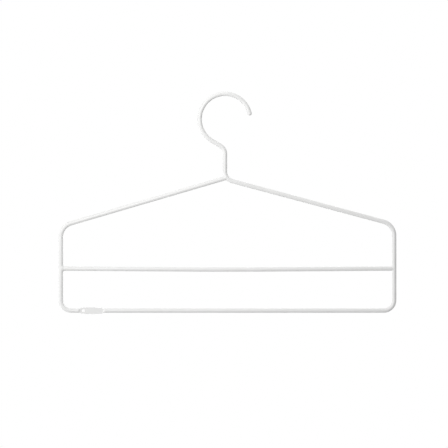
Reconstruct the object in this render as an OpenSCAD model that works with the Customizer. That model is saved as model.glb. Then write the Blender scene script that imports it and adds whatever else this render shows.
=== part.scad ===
// Trouser hanger. One steel rod is bent from the tip of the hook down the neck and round
// the frame until its other end meets the neck again, and a trouser bar joins the sides.
// Welds close both. The hanger stands in the XZ plane and its front faces -Y.
// The origin is the point inside the hook's crown that bears on a rail.

/* [Rods] */
// Thickness of the rod that the frame is bent from
frame_rod_d = 5; // [4:0.5:6]
// Thickness of the trouser bar
bar_rod_d = 5; // [4:0.5:6]

/* [Hook] */
// Clear width inside the hook
hook_inner_w = 55; // [44:1:66]
// Angle at which the free end stops above the hook's widest point
hook_tip_angle = 13; // [0:1:30]
// Slope of the straight run from the hook to the neck
hook_slope = 30.5; // [22:0.5:42]
// Bend radius from that run into the neck, to the rod's centre
hook_bend_r = 11; // [7:0.5:14]

/* [Neck] */
// Length of the neck between the corners of its two bends
neck_length = 36.3; // [30:0.1:50]
// Bend radius from the neck into the right shoulder, to the rod's centre
neck_bend_r = 11.5; // [8:0.5:15]
// Distance of the neck from the middle of the frame, towards the left
neck_shift = 3; // [0:0.5:12]

/* [Frame] */
// Overall width across the two sides
frame_w = 400; // [330:5:450]
// Fall of the right shoulder from the neck to its outer corner
shoulder_fall = 53.8; // [40:0.1:80]
// Height of the right side between its two corners
side_h = 102; // [80:1:140]
// How much lower the left shoulder's outer corner lies than the right's
left_corner_drop = 2; // [0:0.1:8]
// How far above the neck's lower corner the left shoulder meets the neck
left_joint_rise = 1.1; // [0:0.1:4]
// Bend radius of the shoulders' outer corners, to the rod's centre
shoulder_bend_r = 17; // [10:0.5:24]
// Bend radius of the bottom corners, to the rod's centre
bottom_bend_r = 12.5; // [8:0.5:16]

/* [Trouser bar] */
// Height of the trouser bar's ends above the bottom run
bar_height = 49.8; // [35:0.1:65]
// How far the middle of the trouser bar lies below its ends
bar_sag = 1.1; // [0.4:0.1:3]

/* [Pressed flat] */
// Length of the flat pressed into the bottom run
flat_l = 27; // [24:0.1:36]
// Height of the flat at its middle
flat_h = 7.9; // [7.4:0.1:10]
// Height to which its upper and lower edges run together at the ends, before the rounding
flat_end_h = 6.6; // [5.6:0.1:7.2]
// Thickness of the flat
flat_t = 2.5; // [2:0.1:3.2]
// Distance from the left side to the middle of the flat
flat_from_side = 36.35; // [32:0.05:120]
// Length of the slope from the rod down to the flat at either end
flat_ramp = 2.2; // [1.4:0.1:4]
// Diameter of the hole through the flat
hole_d = 3.5; // [2.6:0.1:4.4]
// Distance from the flat's left end to the hole's centre
hole_inset = 4; // [3.6:0.1:10]

/* [Welds] */
// How far a rod's end sinks into the width of the rod that it meets
weld_bite = 0.8; // [0.3:0.1:1.2]
// Gap that the weld fills between the two rods
weld_gap = 0.2; // [0.1:0.05:0.4]
// Height of a weld bead above the rod that ends in it
weld_proud = 0.4; // [0.2:0.05:0.8]
// The same for the larger bead at the trouser bar's left end
left_bead_proud = 0.65; // [0.2:0.05:0.8]

/* [Hidden] */
$fn = 64;
paint = [0.95, 0.95, 0.94];
frame_rod_r = frame_rod_d / 2;
// A bend and a rounded end are this much thicker, so that a straight run ends inside them
ease = 0.02;
// How far a run reaches into the bends at its ends
lap = 0.3;
// Steps that a circle is drawn in where only a shallow arc of it shows
arc_steps = 240;
// How far a cutting shape reaches past what it cuts
margin = 1;

// The rods' centre lines are drawn in the front view: x to the right and y upwards
hook_r = hook_inner_w / 2 + frame_rod_r;
hook_centre = [0, -hook_inner_w / 2];
// The hook ends where its tangent has the slope of the straight run
hook_end_angle = 270 - hook_slope;
hook_end = hook_centre + hook_r * [cos(hook_end_angle), sin(hook_end_angle)];
// The slanted run starts a little inside the hook
slant_start = hook_end - lap * [cos(hook_slope), -sin(hook_slope)];
hook_corner = hook_centre - [0, hook_r / cos(hook_slope)];
neck_corner = hook_corner - [0, neck_length];

half_span = frame_w / 2 - frame_rod_r;
left_x = neck_shift - half_span;
right_x = neck_shift + half_span;
right_corner = [right_x, neck_corner.y - shoulder_fall];
bottom_y = right_corner.y - side_h;
bottom_right = [right_x, bottom_y];
bottom_left = [left_x, bottom_y];
left_corner = [left_x, right_corner.y - left_corner_drop];
left_joint = neck_corner + [0, left_joint_rise];

// Direction of the line from a to b
function heading(a, b) = atan2(b.y - a.y, b.x - a.x);
// Unit vector from a to b
function toward(a, b) = (b - a) / norm(b - a);
// Angle turned at b on the way from a to c, positive to the left
function turn(a, b, c) =
    let (t = heading(b, c) - heading(a, b)) t > 180 ? t - 360 : t < -180 ? t + 360 : t;
// Distance from the corner b to where a bend of radius r starts and ends
function setback(a, b, c, r) = r * tan(abs(turn(a, b, c)) / 2);
// Centre of the bend of radius r in the corner b
function bend_centre(a, b, c, r) =
    b + toward([0, 0], toward(b, a) + toward(b, c)) * r / cos(turn(a, b, c) / 2);
// First point on the line from a towards b that lies at distance r from the point c
function meet(a, b, c, r) =
    let (u = toward(a, b), along = (c - a) * u, off = norm(c - a - along * u))
    a + (along - sqrt(r * r - off * off)) * u;

neck_bend_centre = bend_centre(hook_corner, neck_corner, right_corner, neck_bend_r);
neck_surface_r = neck_bend_r + frame_rod_r;
// The left shoulder's centre line meets the neck at the seat, and the rod sinks in a little
neck_seat = meet(left_corner, left_joint, neck_bend_centre, neck_surface_r);
shoulder_end = meet(left_corner, left_joint, neck_bend_centre, neck_surface_r - weld_bite);

// Ends and corners of the frame's rod from the hook onwards, and the bend radius in each
frame_points = [slant_start, hook_corner, neck_corner, right_corner,
                bottom_right, bottom_left, left_corner, shoulder_end];
frame_radii = [0, hook_bend_r, neck_bend_r, shoulder_bend_r,
               bottom_bend_r, bottom_bend_r, shoulder_bend_r, 0];
// Numbers of the points where the named runs start
slanted_run = 0;
neck_run = 1;
right_shoulder_run = 2;
right_side_run = 3;
bottom_run = 4;
left_side_run = 5;
left_shoulder_run = 6;
// Number of the corner between the neck and the right shoulder
neck_bend = 2;

// The trouser bar ends where it has sunk into the sides by the weld's bite
bar_half = half_span - frame_rod_r + weld_bite;
// Its middle quarters are a shallow bend, and straight runs rise from there to its ends
bar_bend_half = bar_half / 4;
bar_slope = bar_sag / (bar_half - bar_bend_half / 2);
bar_end_y = bottom_y + bar_height;
bar_points = [[neck_shift - bar_half, bar_end_y],
              [neck_shift, bar_end_y - bar_half * bar_slope],
              [neck_shift + bar_half, bar_end_y]];
bar_radii = [0, bar_bend_half / bar_slope, 0];

// The flat's upper and lower edges are arcs that bulge by half the gain in height
flat_bulge = (flat_h - flat_end_h) / 2;
flat_edge_r = (pow(flat_l / 2, 2) + pow(flat_bulge, 2)) / (2 * flat_bulge);
flat_centre = [left_x + flat_from_side, bottom_y];
// Its rounded ends are a little wider than the flat, so that they cross its edges
nose_r = 0.7 * flat_h;

// Turns a shape that is drawn in the front view upright, and paints it
module upright() {
    color(paint) rotate([90, 0, 0]) children();
}

// Straight rod from a to b
module rod(a, b, d) {
    translate(a) rotate([0, 0, heading(a, b)]) rotate([0, 90, 0])
        cylinder(d = d, h = norm(b - a));
}

// Rod bent about a centre from one angle on through a sweep to the left
module arc_rod(centre, r, from, sweep, d) {
    translate(centre) rotate([0, 0, from]) rotate_extrude(angle = sweep)
        translate([r, 0]) circle(d = d + 2 * ease);
}

// Straight run of a path from its point i, which ends inside the bends next to it
module run(points, radii, i, d) {
    a = points[i];
    b = points[i + 1];
    first = i == 0;
    last = i == len(points) - 2;
    start = first ? 0 : setback(points[i - 1], a, b, radii[i]) - lap;
    stop = last ? 0 : setback(a, b, points[i + 2], radii[i + 1]) - lap;
    rod(a + toward(a, b) * start, b - toward(a, b) * stop, d);
}

// Bend in the corner i of a path
module bend(points, radii, i, d) {
    a = points[i - 1];
    b = points[i];
    c = points[i + 1];
    centre = bend_centre(a, b, c, radii[i]);
    from = b + toward(b, turn(a, b, c) > 0 ? a : c) * setback(a, b, c, radii[i]);
    arc_rod(centre, radii[i], heading(centre, from), abs(turn(a, b, c)), d);
}

module frame_run(i, d = frame_rod_d) {
    run(frame_points, frame_radii, i, d);
}

// Rounded hook, from its free end to the slanted run
module hook() {
    tip = hook_centre + hook_r * [cos(hook_tip_angle), sin(hook_tip_angle)];
    arc_rod(hook_centre, hook_r, hook_tip_angle, hook_end_angle - hook_tip_angle, frame_rod_d);
    translate(tip) sphere(d = frame_rod_d + 4 * ease);
}

// The stretch of the rod that the left shoulder's end meets
module neck_stretch(d = frame_rod_d) {
    frame_run(neck_run, d);
    bend(frame_points, frame_radii, neck_bend, d);
    frame_run(right_shoulder_run, d);
}

// The left shoulder, whose end is cut to the neck and leaves the weld's gap
module left_shoulder() {
    difference() {
        frame_run(left_shoulder_run);
        neck_stretch(frame_rod_d + 2 * weld_gap);
    }
}

// One of the two dies that press the flat, with a slope at either end
module die() {
    reach = frame_rod_r + margin;
    ramp_end = flat_l / 2 + flat_ramp * (reach - flat_t / 2) / (frame_rod_r - flat_t / 2);
    rotate([90, 0, 0]) linear_extrude(flat_h + 2 * margin, center = true)
        polygon([
            [-ramp_end, reach],
            [-flat_l / 2, flat_t / 2],
            [flat_l / 2, flat_t / 2],
            [ramp_end, reach]
        ]);
}

// The metal that spreads under the dies, thicker than the flat until they have cut it
module spread() {
    height = flat_t + margin;
    nose_x = flat_l / 2 - nose_r;
    intersection() {
        intersection_for(side = [-1, 1])
            translate([0, side * (flat_edge_r - flat_h / 2)])
                cylinder(r = flat_edge_r, h = height, center = true, $fn = arc_steps);
        union() {
            cube([2 * nose_x, flat_h + 2 * margin, height], center = true);
            for (side = [-1, 1])
                translate([side * nose_x, 0]) cylinder(r = nose_r, h = height, center = true);
        }
    }
}

// The bottom run with the flat pressed into it
module pressed_run() {
    difference() {
        union() {
            frame_run(bottom_run);
            translate(flat_centre) spread();
        }
        translate(flat_centre) {
            die();
            mirror([0, 0, 1]) die();
        }
    }
}

// The trouser bar, whose ends are cut to the sides and leave the welds' gaps
module seated_bar() {
    difference() {
        union() {
            run(bar_points, bar_radii, 0, bar_rod_d);
            bend(bar_points, bar_radii, 1, bar_rod_d);
            run(bar_points, bar_radii, 1, bar_rod_d);
        }
        for (side = [left_side_run, right_side_run])
            frame_run(side, frame_rod_d + 2 * weld_gap);
    }
}

// Weld bead round the end of a rod of thickness d that runs along a heading, centred where
// the rod meets another
module bead(centre, along, d, proud) {
    translate(centre) rotate([0, 0, along]) rotate([0, 90, 0]) sphere(d = d + 2 * proud);
}

module frame_wire() {
    upright() difference() {
        union() {
            hook();
            for (i = [slanted_run, neck_run, right_shoulder_run, right_side_run, left_side_run])
                frame_run(i);
            for (i = [1 : len(frame_points) - 2])
                bend(frame_points, frame_radii, i, frame_rod_d);
            left_shoulder();
            pressed_run();
        }
        translate(flat_centre + [hole_inset - flat_l / 2, 0])
            cylinder(d = hole_d, h = flat_t + 2 * margin, center = true);
    }
}

module trouser_bar() {
    upright() seated_bar();
}

module neck_weld() {
    upright() difference() {
        bead(neck_seat, heading(left_corner, shoulder_end), frame_rod_d, weld_proud);
        neck_stretch();
        left_shoulder();
    }
}

module bar_weld(side, seat_x, proud) {
    upright() difference() {
        bead([seat_x, bar_end_y], 0, bar_rod_d, proud);
        frame_run(side);
        seated_bar();
    }
}

module left_bar_weld() {
    bar_weld(left_side_run, left_x + frame_rod_r, left_bead_proud);
}

module right_bar_weld() {
    bar_weld(right_side_run, right_x - frame_rod_r, weld_proud);
}

frame_wire();
trouser_bar();
neck_weld();
left_bar_weld();
right_bar_weld();
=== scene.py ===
import math

import bmesh
import bpy
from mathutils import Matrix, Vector, noise


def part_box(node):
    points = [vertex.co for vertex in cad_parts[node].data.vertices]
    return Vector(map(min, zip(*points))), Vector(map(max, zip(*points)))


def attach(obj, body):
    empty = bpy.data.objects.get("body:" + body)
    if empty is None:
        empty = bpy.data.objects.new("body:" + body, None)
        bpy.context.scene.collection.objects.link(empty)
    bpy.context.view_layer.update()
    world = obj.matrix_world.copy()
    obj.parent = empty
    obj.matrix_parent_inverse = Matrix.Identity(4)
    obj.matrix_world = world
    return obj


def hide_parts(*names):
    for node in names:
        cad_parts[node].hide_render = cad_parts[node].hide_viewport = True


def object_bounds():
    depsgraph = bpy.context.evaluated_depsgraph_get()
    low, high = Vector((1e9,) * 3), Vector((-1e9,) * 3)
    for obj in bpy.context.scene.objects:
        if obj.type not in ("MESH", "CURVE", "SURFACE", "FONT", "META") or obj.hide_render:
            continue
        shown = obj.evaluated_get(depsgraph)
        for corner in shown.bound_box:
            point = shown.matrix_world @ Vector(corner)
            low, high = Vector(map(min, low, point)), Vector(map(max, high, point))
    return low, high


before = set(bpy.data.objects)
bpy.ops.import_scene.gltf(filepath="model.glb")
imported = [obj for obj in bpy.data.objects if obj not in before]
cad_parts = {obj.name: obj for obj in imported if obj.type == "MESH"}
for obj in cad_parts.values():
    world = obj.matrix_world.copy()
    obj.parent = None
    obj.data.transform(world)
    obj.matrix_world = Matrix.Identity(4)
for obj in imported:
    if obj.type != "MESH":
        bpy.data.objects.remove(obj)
cad_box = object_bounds()

# The photograph's frame: its width, the hook's centre in it, and the scale at the hanger
FRAME_PX = 448
HOOK_PX = (225.0, 119.15)
METRES_PER_PX = 0.00118494
HOOK_CENTRE_Z = -0.0275
SENSOR_MM = 36
CAMERA_DISTANCE = 2.0
CAMERA_CLIP_END = 50

# Light: the world's level, and the lamps as name, place, diameter and watts
WHITE = 1.0
WORLD_LEVEL = 0.37
LAMP_AIM = Vector((0, 0, -0.14))
LAMPS = (
    ("low_left", (-1.573, -0.277, -0.721), 0.7, 8.8),
    ("front_left", (-0.289, -0.795, 0.168), 0.4, 4.2),
    ("top", (-0.05, -0.05, 1.5), 0.7, 6.7),
    ("behind", (0, 1.6, -0.14), 1.0, 6.0),
)

# The floor lies well below the hanger. Its share of plain white grows between two distances
FLOOR_DROP = 1.3
FLOOR_SIZE = 14
FLOOR_GREY = 0.85
FLOOR_ROUGHNESS = 0.9
FLOOR_WHITE = (0.75, 1.0)
FLOOR_FADE = (1.5, 4.5)

# The coat. Each noise is its scale and detail, and each bump its scale and height
COAT_IOR = 1.5
CLOUD_NOISE = (45.0, 4.0)
CLOUD_TONES = ((0.35, (0.85, 0.85, 0.843, 1)), (0.65, (0.87, 0.87, 0.867, 1)))
GLOSS_NOISE = (160.0, 3.0)
GLOSS_FROM = (0.3, 0.7)
GLOSS_ROUGHNESS = (0.37, 0.47)
BUMP_DETAIL = 2.0
BUMPS = ((700.0, 0.00002), (2800.0, 0.000003))
SHARP_DEGREES = 35

# The rods' radius, and the neck's bend as centre and radius of its centre line, from the CAD
ROD_R = 0.0025
NECK_BEND = (Vector((0.0115, 0, -0.089797)), 0.0115)
# The left shoulder's centre line, from its outer corner to the neck
SHOULDER_FROM = Vector((-0.1945, 0, -0.154418))
SHOULDER_TO = Vector((0, 0, -0.097518))

# Each weld is one smooth skin over the joint: how widely it blends the two rods, how far its
# rim lies under the bare rods, how far it reaches from the joint, and its irregularity
LEFT_BLEND = 0.0025
RIGHT_BLEND = 0.0009
NECK_BLEND = 0.0013
WELD_SINK = 0.00012
WELD_REACH = 0.0056
WELD_RIPPLE = 0.00006
WELD_RIPPLE_SCALE = 900
WELD_SUBDIVISIONS = 5
WELD_STEPS = 22


def set_inputs(node, **values):
    """Sets a node's inputs by name, with an underscore for each space."""
    for name, value in values.items():
        node.inputs[name.replace("_", " ")].default_value = value


def add_camera():
    """The camera looks along +Y, placed so that the hook is where the photograph has it."""
    x = (FRAME_PX / 2 - HOOK_PX[0]) * METRES_PER_PX
    z = HOOK_CENTRE_Z - (FRAME_PX / 2 - HOOK_PX[1]) * METRES_PER_PX
    data = bpy.data.cameras.new("camera")
    data.sensor_width = SENSOR_MM
    data.lens = SENSOR_MM * CAMERA_DISTANCE / (FRAME_PX * METRES_PER_PX)
    data.clip_end = CAMERA_CLIP_END
    camera = bpy.data.objects.new("camera", data)
    camera.location = (x, -CAMERA_DISTANCE, z)
    camera.rotation_euler = (math.pi / 2, 0, 0)
    bpy.context.scene.collection.objects.link(camera)
    bpy.context.scene.camera = camera


def add_lamp(name, place, size, watts):
    data = bpy.data.lights.new(name, "AREA")
    data.shape = "DISK"
    data.size = size
    data.energy = watts
    lamp = bpy.data.objects.new(name, data)
    lamp.location = place
    lamp.rotation_euler = (LAMP_AIM - Vector(place)).to_track_quat("-Z", "Y").to_euler()
    lamp.visible_camera = False
    bpy.context.scene.collection.objects.link(lamp)


def math_node(tree, operation, first, second):
    node = tree.nodes.new("ShaderNodeMath")
    node.operation = operation
    tree.links.new(first, node.inputs[0])
    tree.links.new(second, node.inputs[1])
    return node.outputs[0]


def seen_rays(tree):
    """1 for camera, glossy and transmission rays, and 0 for the rays that light the object."""
    path = tree.nodes.new("ShaderNodeLightPath")
    seen = path.outputs["Is Camera Ray"]
    for ray in ("Is Glossy Ray", "Is Transmission Ray"):
        seen = math_node(tree, "MAXIMUM", seen, path.outputs[ray])
    return seen


def mix_shaders(tree, factor, first, second):
    mix = tree.nodes.new("ShaderNodeMixShader")
    tree.links.new(factor, mix.inputs["Fac"])
    tree.links.new(first.outputs[0], mix.inputs[1])
    tree.links.new(second.outputs[0], mix.inputs[2])
    return mix


def add_world():
    """Lights the object at a plain level, and shows itself plain white."""
    world = bpy.data.worlds.new("world")
    bpy.context.scene.world = world
    world.use_nodes = True
    tree = world.node_tree
    tree.nodes.clear()
    lit = tree.nodes.new("ShaderNodeBackground")
    set_inputs(lit, Color=(1, 1, 1, 1), Strength=WORLD_LEVEL)
    white = tree.nodes.new("ShaderNodeBackground")
    set_inputs(white, Color=(1, 1, 1, 1), Strength=WHITE)
    output = tree.nodes.new("ShaderNodeOutputWorld")
    mix = mix_shaders(tree, seen_rays(tree), lit, white)
    tree.links.new(mix.outputs[0], output.inputs["Surface"])


def add_floor():
    """A pale floor that takes the object's shadow and fades into the white background."""
    floor_z = cad_box[0][2] - FLOOR_DROP
    bpy.ops.mesh.primitive_plane_add(size=FLOOR_SIZE, location=(0, 0, floor_z))
    floor = bpy.context.object
    floor.name = "floor"
    material = bpy.data.materials.new("floor")
    material.use_nodes = True
    # The floor's white is only looked at. Sampled as a lamp it would add grain
    material.cycles.emission_sampling = "NONE"
    tree = material.node_tree
    lit = tree.nodes["Principled BSDF"]
    set_inputs(lit, Base_Color=(FLOOR_GREY, FLOOR_GREY, FLOOR_GREY, 1),
               Roughness=FLOOR_ROUGHNESS)
    white = tree.nodes.new("ShaderNodeEmission")
    set_inputs(white, Color=(1, 1, 1, 1), Strength=WHITE)
    coords = tree.nodes.new("ShaderNodeTexCoord")
    away = tree.nodes.new("ShaderNodeVectorMath")
    away.operation = "LENGTH"
    tree.links.new(coords.outputs["Object"], away.inputs[0])
    fade = tree.nodes.new("ShaderNodeMapRange")
    fade.interpolation_type = "SMOOTHSTEP"
    set_inputs(fade, From_Min=FLOOR_FADE[0], From_Max=FLOOR_FADE[1],
               To_Min=FLOOR_WHITE[0], To_Max=FLOOR_WHITE[1])
    tree.links.new(away.outputs["Value"], fade.inputs["Value"])
    factor = math_node(tree, "MULTIPLY", seen_rays(tree), fade.outputs["Result"])
    mix = mix_shaders(tree, factor, lit, white)
    tree.links.new(mix.outputs[0], tree.nodes["Material Output"].inputs["Surface"])
    floor.data.materials.append(material)


def noise_node(tree, coords, scale, detail):
    node = tree.nodes.new("ShaderNodeTexNoise")
    set_inputs(node, Scale=scale, Detail=detail)
    tree.links.new(coords.outputs["Object"], node.inputs["Vector"])
    return node.outputs["Fac"]


def coat_material():
    """Satin white powder coat: clouds a shade apart, uneven gloss, orange peel and fine grain."""
    material = bpy.data.materials.new("white_coat")
    material.use_nodes = True
    tree = material.node_tree
    shader = tree.nodes["Principled BSDF"]
    set_inputs(shader, IOR=COAT_IOR)
    coords = tree.nodes.new("ShaderNodeTexCoord")

    tone = tree.nodes.new("ShaderNodeValToRGB")
    for stop, (position, color) in zip(tone.color_ramp.elements, CLOUD_TONES):
        stop.position, stop.color = position, color
    tree.links.new(noise_node(tree, coords, *CLOUD_NOISE), tone.inputs["Fac"])
    tree.links.new(tone.outputs["Color"], shader.inputs["Base Color"])

    gloss = tree.nodes.new("ShaderNodeMapRange")
    set_inputs(gloss, From_Min=GLOSS_FROM[0], From_Max=GLOSS_FROM[1],
               To_Min=GLOSS_ROUGHNESS[0], To_Max=GLOSS_ROUGHNESS[1])
    tree.links.new(noise_node(tree, coords, *GLOSS_NOISE), gloss.inputs["Value"])
    tree.links.new(gloss.outputs["Result"], shader.inputs["Roughness"])

    normal = None
    for scale, height in BUMPS:
        bump = tree.nodes.new("ShaderNodeBump")
        set_inputs(bump, Strength=1.0, Distance=height)
        tree.links.new(noise_node(tree, coords, scale, BUMP_DETAIL), bump.inputs["Height"])
        if normal:
            tree.links.new(normal, bump.inputs["Normal"])
        normal = bump.outputs["Normal"]
    tree.links.new(normal, shader.inputs["Normal"])
    return material


def off_bend(point):
    """Distance of a point from the rod in the neck's bend."""
    centre, radius = NECK_BEND
    x, z = point.x - centre.x, point.z - centre.z
    return math.hypot(math.hypot(x, z) - radius, point.y) - ROD_R


def off_side(axis_x):
    """Function that gives a point's distance from an upright side rod."""
    return lambda point: math.hypot(point.x - axis_x, point.y) - ROD_R


def add_weld(name, seat, outward, off_host, blend, coat):
    """A weld where a rod that runs outward from the seat ends on a host rod. The skin is the
    smooth union of both rods, found along rays from the seat."""
    def off_rod(point):
        rel = point - seat
        return (rel - outward * max(rel.dot(outward), 0)).length - ROD_R

    def off_skin(point, ripple):
        host, rod = off_host(point), off_rod(point)
        near = max(blend - abs(host - rod), 0) / blend
        swell = near * near * (blend / 4 + ripple)
        return min(host, rod) - swell + (1 - near) ** 2 * WELD_SINK

    mesh = bpy.data.meshes.new(name)
    form = bmesh.new()
    bmesh.ops.create_icosphere(form, subdivisions=WELD_SUBDIVISIONS, radius=1)
    for vertex in form.verts:
        ray = vertex.co.normalized()
        spot = seat * WELD_RIPPLE_SCALE + ray * WELD_REACH * WELD_RIPPLE_SCALE
        ripple = WELD_RIPPLE * noise.noise(spot)
        near, far = 0.0, WELD_REACH
        if off_skin(seat + ray * far, ripple) > 0:
            for _ in range(WELD_STEPS):
                middle = (near + far) / 2
                if off_skin(seat + ray * middle, ripple) < 0:
                    near = middle
                else:
                    far = middle
        vertex.co = seat + ray * far
    form.to_mesh(mesh)
    form.free()
    for polygon in mesh.polygons:
        polygon.use_smooth = True
    mesh.materials.append(coat)
    weld = bpy.data.objects.new(name, mesh)
    bpy.context.scene.collection.objects.link(weld)
    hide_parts(name.removesuffix("_skin"))
    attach(weld, "root")


def add_welds(coat):
    low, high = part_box("frame_wire")
    bar_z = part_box("trouser_bar")[1][2] - ROD_R
    left_x, right_x = low[0] + ROD_R, high[0] - ROD_R
    add_weld("left_bar_weld_skin", Vector((left_x + ROD_R, 0, bar_z)), Vector((1, 0, 0)),
             off_side(left_x), LEFT_BLEND, coat)
    add_weld("right_bar_weld_skin", Vector((right_x - ROD_R, 0, bar_z)), Vector((-1, 0, 0)),
             off_side(right_x), RIGHT_BLEND, coat)
    # The neck's seat is where the left shoulder's centre line leaves the rod of the neck's bend
    along = (SHOULDER_FROM - SHOULDER_TO).normalized()
    centre, radius = NECK_BEND
    rel = SHOULDER_TO - centre
    b = rel.dot(along)
    t = -b + math.sqrt(b * b - rel.dot(rel) + (radius + ROD_R) ** 2)
    add_weld("neck_weld_skin", SHOULDER_TO + along * t, along, off_bend, NECK_BLEND, coat)


bpy.context.scene.view_settings.view_transform = "Standard"
add_camera()
add_world()
for lamp in LAMPS:
    add_lamp(*lamp)
add_floor()

coat = coat_material()
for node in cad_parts.values():
    node.data.materials.clear()
    node.data.materials.append(coat)
    for polygon in node.data.polygons:
        polygon.use_smooth = True
    node.data.set_sharp_from_angle(angle=math.radians(SHARP_DEGREES))
add_welds(coat)
